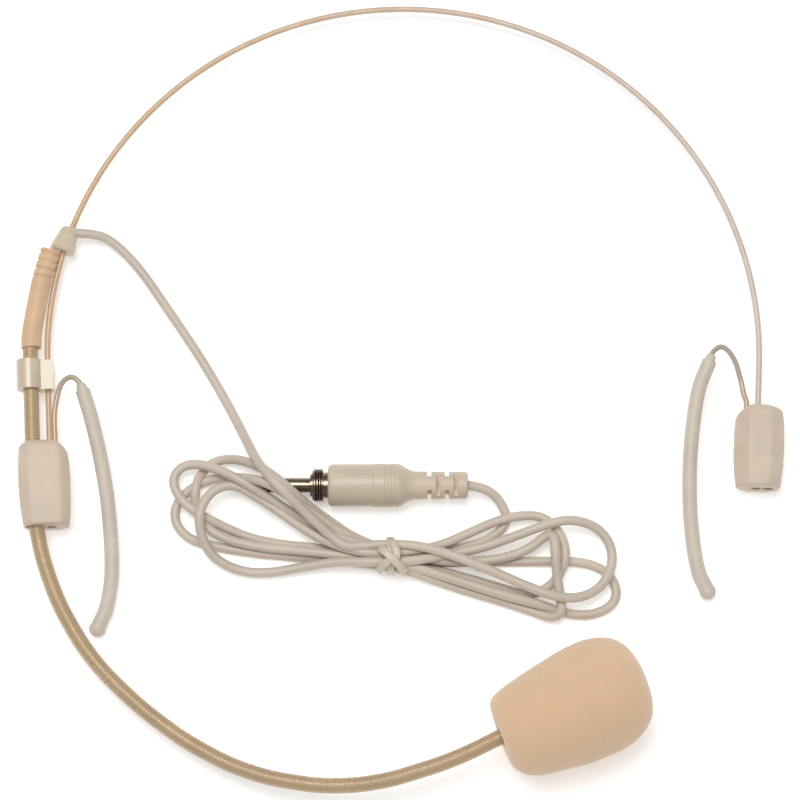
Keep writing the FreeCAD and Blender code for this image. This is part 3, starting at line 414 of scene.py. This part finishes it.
def smooth_line(points, step):
    """Evenly spaced points on a smooth line through the given ones."""
    data = bpy.data.curves.new("guide", "CURVE")
    data.dimensions = "3D"
    data.resolution_u = 24
    spline = data.splines.new("BEZIER")
    spline.bezier_points.add(len(points) - 1)
    for place, point in zip(spline.bezier_points, points):
        place.co = point
        place.handle_left_type = place.handle_right_type = "AUTO"
    guide = link("guide", data)
    bpy.context.view_layer.update()
    raw = line_points(guide)
    bpy.data.objects.remove(guide)
    return evenly(raw, step)


def evenly(raw, step):
    """The same line, with its points one step apart."""
    total = sum((b - a).length for a, b in zip(raw, raw[1:]))
    count = max(2, round(total / step))
    result = [raw[0].copy()]
    gone = 0.0
    for here, there in zip(raw, raw[1:]):
        run = (there - here).length
        while len(result) < count and gone + run >= len(result) * total / count:
            share = (len(result) * total / count - gone) / run
            result.append(here.lerp(there, share))
        gone += run
    result.append(raw[-1].copy())
    return result


def tube(name, line, radius, sides=24):
    """A closed round tube along a line; radius is a function of (distance, turn)."""
    points = []
    way = (line[1] - line[0]).normalized()
    across = way.orthogonal().normalized()
    gone = 0.0
    for index, here in enumerate(line):
        ahead = line[min(index + 1, len(line) - 1)] - line[max(index - 1, 0)]
        new_way = ahead.normalized()
        across = (way.rotation_difference(new_way) @ across).normalized()
        way = new_way
        up = way.cross(across)
        if index:
            gone += (here - line[index - 1]).length
        for side in range(sides):
            turn = 2 * math.pi * side / sides
            out = across * math.cos(turn) + up * math.sin(turn)
            points.append(here + out * radius(gone, turn))
    return mesh_piece(name, points, ring_faces(len(line), sides))


# ------------------------------------------------------------------ the cord
def make_cord():
    """The whole cord, from the cable clip through the tied hank to the plug."""
    data = bpy.data.curves.new("cord", "CURVE")
    data.dimensions = "3D"
    data.resolution_u = 10
    spline = data.splines.new("NURBS")
    spline.points.add(len(ROUTE) - 1)
    for place, point in zip(spline.points, ROUTE):
        place.co = (*mm(*point), 1)
    spline.order_u = 3
    spline.use_endpoint_u = True
    data.bevel_depth = CORD_DIAMETER / 2
    data.bevel_resolution = 6
    data.use_fill_caps = True
    cord = link("cord", data)
    dress(cord, "cord_jacket")
    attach(cord, "headband")
    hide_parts("lead_cable", "cord_hank", "plug_lead_cable")
    return cord


# half of the tie's width and of its thickness
TIE_HALF, TIE_THIN = mm(0.95), mm(0.35)
TIE_STEP = mm(0.35)


def make_tie():
    """The twist tie: a flat strip round the bundle, its ends crossed on top of it."""
    loop = [(-2.3, -36.6, 3.9), (-2.3, -36.9, 6.6), (-2.3, -38.6, 8.0), (-2.3, -42.4, 8.0),
            (-2.3, -44.3, 6.6), (-2.3, -44.6, 3.9), (-2.3, -44.2, 1.3), (-2.3, -42.4, 0.5),
            (-2.3, -38.6, 0.5), (-2.3, -36.9, 1.3), (-2.3, -36.6, 3.9)]
    first = [(-2.3, -37.3, 7.4), (-1.9, -37.9, 8.2), (-1.2, -39.2, 8.7), (-0.8, -40.6, 8.8),
             (-1.0, -42.0, 8.6), (-1.4, -42.8, 8.2)]
    second = [(-4.8, -39.5, 8.5), (-3.8, -40.3, 9.4), (-2.4, -41.7, 9.8), (-0.7, -43.3, 9.3),
              (0.5, -44.4, 8.1), (1.3, -45.1, 6.6)]
    third = [(-1.6, -41.6, 8.8), (-2.9, -42.8, 9.0), (-4.2, -43.9, 8.0), (-5.1, -44.7, 6.6)]
    strips = []
    for index, route in enumerate((loop, first, second, third)):
        line = smooth_line([mm(*point) for point in route], TIE_STEP)
        strips.append(strip(f"tie_strip_{index}", line, TIE_HALF, TIE_THIN, Vector((0, 0, 1))))
    tie = join("twist_tie", strips)
    dress(tie, "tie_plastic")
    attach(tie, "headband")
    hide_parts("cord_tie")
    return tie


def strip(name, line, half, thin, upward):
    """A flat strip with rounded edges along a line, lying across the upward direction."""
    profile = [(1, 0.0), (0.9, 0.75), (0.7, 1), (-0.7, 1), (-0.9, 0.75), (-1, 0.0),
               (-0.9, -0.75), (-0.7, -1), (0.7, -1), (0.9, -0.75)]
    sides = len(profile)
    points = []
    middle = sum(line, Vector()) / len(line)
    for index, here in enumerate(line):
        way = (line[min(index + 1, len(line) - 1)] - line[max(index - 1, 0)]).normalized()
        out = here - middle if (line[0] - line[-1]).length < mm(0.01) else upward
        across = way.cross(out).normalized()
        normal = across.cross(way)
        for wide, high in profile:
            points.append(here + across * (half * wide) + normal * (thin * high))
    return mesh_piece(name, points, ring_faces(len(line), sides))


def join(name, pieces):
    """One piece made of several meshes."""
    whole = bmesh.new()
    for piece in pieces:
        whole.from_mesh(piece.data)
        bpy.data.objects.remove(piece)
    data = bpy.data.meshes.new(name)
    bmesh.ops.recalc_face_normals(whole, faces=whole.faces)
    whole.to_mesh(data)
    whole.free()
    for face in data.polygons:
        face.use_smooth = True
    return link(name, data)


# ------------------------------------------------------------------ the slider blocks
def round_hole(x, z, radius, start=-3.0, stop=26.0):
    """A hole in a block: its place beside the block's middle, and its depths below the top."""
    return (x, z, radius, start, stop)


# each block's side, the middle of its top, its outline's half measures and its holes, all in
# millimetres; twist is in degrees, and shift is how far its foot leans outward
BLOCKS = [
    {"name": "left", "side": LEFT, "top": (-85.6, -13.2, 5.65), "length": 20.7, "wide": 6.15,
     "high": 5.3, "face": 3.75, "twist": 7, "shift": 0.45,
     "holes": [round_hole(1.55, -0.75, 1.25), round_hole(-2.3, 0.65, 2.1),
               round_hole(3.15, 1.85, 0.85, stop=4.5)]},
    {"name": "right", "side": RIGHT, "top": (86.5, -4.4, 5.25), "length": 20.1, "wide": 5.9,
     "high": 5.2, "face": 2.75, "twist": 0, "shift": 0.0,
     "holes": [round_hole(-0.39, -0.35, 1.25), round_hole(2.4, 0.0, 1.3),
               round_hole(-3.3, 1.0, 0.85, stop=4.5)]},
]
LEG_LEAN = math.radians(3)
# the octagon's corners are softer with a lower power
CORNER_POWER = 30
CROWN_INSET, CROWN_DROP, FOOT_EDGE = 2.6, 2.0, 0.5
CROWN_STEPS, WALL_STEPS, FOOT_STEPS, BLOCK_SIDES = 12, 60, 6, 144
# the inner wall starts this far from the middle and slants outward down the block
SLANT_START, SLANT_POWER = 2.9, 18
# the block is widest where its share of depth is half of BELLY, and narrows to both ends
BELLY, BELLY_SHARE, BELLY_POWER = 0.95, 0.11, 2.2


def block_radius(block, turn, depth):
    """The block's radius at an angle and a depth: an octagon whose inner wall is slanted."""
    share = max(0.0, min(1.0, depth / block["length"]))
    full = 1 - BELLY_SHARE * abs(2 * share - BELLY) ** BELLY_POWER
    wide, high, face = (block[key] * full for key in ("wide", "high", "face"))
    slant = SLANT_START + max(depth, 0.0)
    inner = (wide ** -SLANT_POWER + slant ** -SLANT_POWER) ** (-1 / SLANT_POWER)
    diagonal = (face + high) / math.sqrt(2)
    total = 0.0
    for step in range(8):
        offset = diagonal if step % 2 else (wide, high, wide, high)[step // 2]
        if step == (0 if block["side"] == LEFT else 4):
            offset = inner
        facing = math.cos(turn - math.radians(45 * step))
        total += max(0.0, facing / offset) ** CORNER_POWER
    return total ** (-1 / CORNER_POWER)


def block_levels(length):
    """(depth, inset) pairs from the crown, down the wall, to the foot."""
    levels = []
    for step in range(CROWN_STEPS + 1):
        turn = math.pi / 2 * step / CROWN_STEPS
        levels.append((CROWN_DROP * (1 - math.cos(turn)), CROWN_INSET * (1 - math.sin(turn))))
    wall = length - CROWN_DROP - FOOT_EDGE
    levels += [(CROWN_DROP + wall * step / WALL_STEPS, 0.0) for step in range(1, WALL_STEPS)]
    for step in range(FOOT_STEPS + 1):
        turn = math.pi / 2 * step / FOOT_STEPS
        levels.append((length - FOOT_EDGE * (1 - math.sin(turn)),
                       FOOT_EDGE * (1 - math.cos(turn))))
    return levels


def make_block(block):
    """A slider block's shell, with its crown, slanted inner wall and drilled holes."""
    sides = BLOCK_SIDES
    turn_out = math.radians(block["twist"]) * block["side"]
    lean = -block["side"] * LEG_LEAN
    up = Vector((-math.sin(lean), math.cos(lean), 0))
    across = Vector((math.cos(lean), math.sin(lean), 0))
    top = mm(*block["top"])
    points = []
    levels = block_levels(block["length"])
    for depth, inset in levels:
        shift = block["shift"] * (depth / block["length"]) ** 2
        for side in range(sides):
            turn = 2 * math.pi * side / sides
            reach = block_radius(block, turn, depth) - inset
            place = across * math.cos(turn + turn_out) + Vector((0, 0, 1)) * math.sin(
                turn + turn_out)
            points.append(top - up * mm(depth) + place * mm(reach) + across * mm(shift))
    shell = mesh_piece(f"{block['name']}_block_shell", points, ring_faces(len(levels), sides))
    turn_outward(shell)
    for x, z, radius, start, stop in block["holes"]:
        middle = top + mm(x, 0, z) - up * mm((start + stop) / 2)
        drill(shell, middle, up, mm(radius), mm(stop - start))
    dress(shell, "block_plastic")
    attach(shell, f"{block['name']}_slider")
    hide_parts(f"{block['name']}_slider_block")


HOLE_SIDES = 40
SHARP_FROM = math.radians(40)


def drill(piece, middle, way, radius, length):
    """Cuts a round hole in a mesh, about a middle point and along a direction."""
    whole = bmesh.new()
    turn = Vector((0, 0, 1)).rotation_difference(way).to_matrix().to_4x4()
    turn.translation = middle
    bmesh.ops.create_cone(whole, cap_ends=True, segments=HOLE_SIDES, radius1=radius, radius2=radius,
                          depth=length, matrix=turn)
    data = bpy.data.meshes.new("drill")
    whole.to_mesh(data)
    whole.free()
    tool = link("drill", data)
    modifier = piece.modifiers.new("hole", "BOOLEAN")
    modifier.operation = "DIFFERENCE"
    modifier.solver = "EXACT"
    modifier.object = tool
    depsgraph = bpy.context.evaluated_depsgraph_get()
    result = bpy.data.meshes.new_from_object(piece.evaluated_get(depsgraph))
    piece.modifiers.remove(modifier)
    old = piece.data
    piece.data = result
    bpy.data.meshes.remove(old)
    bpy.data.objects.remove(tool)
    piece.data.set_sharp_from_angle(angle=SHARP_FROM)


# ------------------------------------------------------------------ the gooseneck
GOOSENECK_RADIUS = mm(1.85)
WIND_PITCH = mm(0.5)
WIND_DEPTH = mm(0.11)
LINE_STEP = mm(0.08)
GOOSENECK_SIDES = 28
BOOM_HEIGHT = 6.3
# the boom's centre line, from the strain relief through the block to the microphone
BOOM = [(-89.2, 9.8, BOOM_HEIGHT), (-88.61, -1.3, BOOM_HEIGHT), (-88.03, -12.5, BOOM_HEIGHT),
        (-86.5, -33.5, BOOM_HEIGHT), (-82.5, -47.8, BOOM_HEIGHT), (-77.1, -58.6, 6.4),
        (-72.3, -65.5, 6.6), (-66.6, -71.7, 6.9), (-57.0, -80.0, 7.4), (-46.0, -87.3, 8.1),
        (-35.0, -92.3, 9.0),
        (-24.0, -94.9, 9.9), (-15.4, -95.7, 10.7), (-4.6, -94.8, 11.7), (4.6, -92.4, 12.6),
        (12.6, -89.7, 13.3), (24.8, -84.0, 13.8)]
# each length of gooseneck: where it ends, its two bodies and where it bends between them
GOOSENECK = [
    ("gooseneck_wound_upper", (-46.0, -87.3), "headband", "boom_middle",
     (-72.3, -65.5, 6.6), (-66.6, -71.7, 6.9),
     ("gooseneck_upper", "gooseneck_flex_1", "gooseneck_middle")),
    ("gooseneck_wound_middle", (-4.6, -94.8), "boom_middle", "boom_lower",
     (-24.0, -94.9, 9.9), (-15.4, -95.7, 10.7), ("gooseneck_flex_2", "gooseneck_lower")),
    ("gooseneck_wound_tip", (24.8, -84.0), "boom_lower", "mic",
     (4.6, -92.4, 12.6), (12.6, -89.7, 13.3), ("gooseneck_flex_3", "gooseneck_tip")),
]


def wound_radius(gone, turn):
    """A tight helical winding: round crests with narrow valleys."""
    phase = math.pi * (gone / WIND_PITCH) - turn / 2
    return GOOSENECK_RADIUS - WIND_DEPTH * (1 - abs(math.sin(phase))) ** 1.5


def make_gooseneck():
    """The gooseneck's three lengths, each a wound tube along its stretch of the boom's line."""
    line = smooth_line([mm(*point) for point in BOOM], LINE_STEP)
    first = 0
    for name, end, near_body, far_body, start, stop, nodes in GOOSENECK:
        end = Vector((*end, 0)) * MILLIMETRE
        last = min(range(len(line)), key=lambda index: (line[index].xy - end.xy).length)
        before = LINE_STEP * first
        piece = tube(name, line[first:last + 1],
                     lambda gone, turn: wound_radius(gone + before, turn), GOOSENECK_SIDES)
        dress(piece, "gooseneck_wound")
        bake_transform(piece)
        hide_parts(*nodes)
        first = last


# ------------------------------------------------------------------ the windscreen
MIC_ORIGIN = mm(23.4, -84.5, 13.8)
MIC_TURN = math.radians(20)
# the foam's outline: distance from its mouth, and radius on its upper and lower side
FOAM_OUTLINE = [(0.0, 6.6, 6.6), (0.2, 7.9, 7.6), (1.0, 8.9, 8.8), (2.5, 9.8, 10.3),
                (5.0, 10.7, 11.5), (8.0, 11.4, 12.1), (12.0, 12.3, 12.5), (16.0, 13.2, 12.9),
                (20.0, 13.9, 12.9), (24.0, 14.3, 12.8), (27.0, 14.1, 12.4), (30.0, 13.3, 11.3),
                (32.5, 11.9, 9.7), (34.4, 9.6, 7.6), (35.6, 6.4, 4.8), (36.0, 3.0, 2.2)]
# its bore, from the bottom out to the mouth, which closes round the boom
FOAM_BORE = [(21.8, 0.4), (21.8, 3.7), (12.0, 3.7), (3.0, 3.65), (1.6, 3.4), (0.9, 2.7),
             (0.5, 2.2), (0.15, 2.15), (-0.05, 2.6), (-0.15, 3.6), (-0.1, 5.2)]
FOAM_RINGS, FOAM_SIDES = 130, 160
# how big and how deep the foam's soft dents and its pores are; narrow rings stay smooth
DENT_SIZE, DENT_DEPTH = mm(7), 0.16
PORE_SIZE, PORE_DEPTH = mm(0.8), 0.05
SMOOTH_WITHIN = 5


def outline_at(share):
    """The foam's (distance, upper radius, lower radius) at a share of its outline.

    A smooth cubic runs through the outline's points.
    """
    place = share * (len(FOAM_OUTLINE) - 1)
    index = min(int(place), len(FOAM_OUTLINE) - 2)
    rest = place - index
    before = FOAM_OUTLINE[max(index - 1, 0)]
    here, there = FOAM_OUTLINE[index], FOAM_OUTLINE[index + 1]
    after = FOAM_OUTLINE[min(index + 2, len(FOAM_OUTLINE) - 1)]
    return [0.5 * (2 * b + (c - a) * rest + (2 * a - 5 * b + 4 * c - d) * rest ** 2
                   + (3 * b - a - 3 * c + d) * rest ** 3)
            for a, b, c, d in zip(before, here, there, after)]


def make_windscreen():
    """The foam cover: its bore, its rounded mouth and its lopsided egg, with soft pores."""
    rings, sides = FOAM_RINGS, FOAM_SIDES
    profile = [(distance, radius, radius) for distance, radius in FOAM_BORE]
    profile += [outline_at(ring / rings) for ring in range(rings + 1)]
    axis = Vector((math.cos(MIC_TURN), math.sin(MIC_TURN), 0))
    side_way = Vector((-math.sin(MIC_TURN), math.cos(MIC_TURN), 0))
    points = []
    for distance, upper, lower in profile:
        for side in range(sides):
            turn = 2 * math.pi * side / sides
            lean = 0.5 + 0.5 * math.cos(turn)
            radius = lower + (upper - lower) * lean
            out = side_way * math.cos(turn) + Vector((0, 0, 1)) * math.sin(turn)
            point = MIC_ORIGIN + axis * mm(distance) + out * mm(radius)
            if radius > SMOOTH_WITHIN:
                dent = noise.noise(point / DENT_SIZE) * DENT_DEPTH
                pore = noise.fractal(point / PORE_SIZE, 0.8, 2.0, 3) * PORE_DEPTH
                point += out * mm(dent + pore)
            points.append(point)
    foam = mesh_piece("foam_cover", points, ring_faces(len(profile), sides))
    turn_outward(foam)
    dress(foam, "foam")
    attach(foam, "windscreen")
    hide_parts("foam_windscreen")


def turn_outward(piece):
    """Turns every face of a closed mesh outward."""
    whole = bmesh.new()
    whole.from_mesh(piece.data)
    bmesh.ops.recalc_face_normals(whole, faces=whole.faces)
    whole.to_mesh(piece.data)
    whole.free()


# ------------------------------------------------------------------ table and light
# the table's half width in metres, its own faint glow, and the sky's strength
TABLE_REACH, TABLE_GLOW, SKY_STRENGTH = 3.0, 0.28, 0.38
# each lamp's name, its place and width in metres, and its power in watts
LAMPS = [("key", (-0.22, 0.2, 1.0), 0.6, 5.2), ("fill", (0.6, -0.5, 0.8), 0.9, 1.0),
         ("top", (0.0, 0.1, 1.3), 0.5, 3.2)]


def make_floor():
    """The pale table that everything lies on."""
    data = bpy.data.meshes.new("table")
    reach = TABLE_REACH
    corners = [(-reach, -reach, 0), (reach, -reach, 0), (reach, reach, 0), (-reach, reach, 0)]
    data.from_pydata(corners, [], [(0, 1, 2, 3)])
    floor = link("table", data)
    material, tree, shader, place = start_material("table_white")
    grain = clouds(tree, place, mm(40))
    base = ramp(tree, grain, [(0.3, colour(250, 250, 249)), (0.7, colour(254, 254, 254))])
    finish_shader(tree, shader, base, between(tree, grain, 0.8, 0.9), grain, mm(0.02), 0.05,
                  {"Emission Color": (1, 1, 1, 1), "Emission Strength": TABLE_GLOW})
    data.materials.append(material)


def make_light():
    """A soft white sky and three wide lamps that face the middle of the table."""
    world = bpy.data.worlds.new("studio")
    world.use_nodes = True
    background = world.node_tree.nodes["Background"]
    background.inputs["Color"].default_value = (1, 1, 1, 1)
    background.inputs["Strength"].default_value = SKY_STRENGTH
    bpy.context.scene.world = world
    for name, place, width, power in LAMPS:
        data = bpy.data.lights.new(name, "AREA")
        data.size = width
        data.energy = power
        lamp = link(name, data)
        lamp.location = place
        lamp.rotation_euler = (-Vector(place)).to_track_quat("-Z", "Y").to_euler()
    bpy.context.scene.view_settings.view_transform = "Standard"


# ------------------------------------------------------------------ the whole scene
make_camera()
cord = make_cord()
tie = make_tie()
dress_cad_nodes()
for block in BLOCKS:
    make_block(block)
make_gooseneck()
make_windscreen()

make_floor()
make_light()
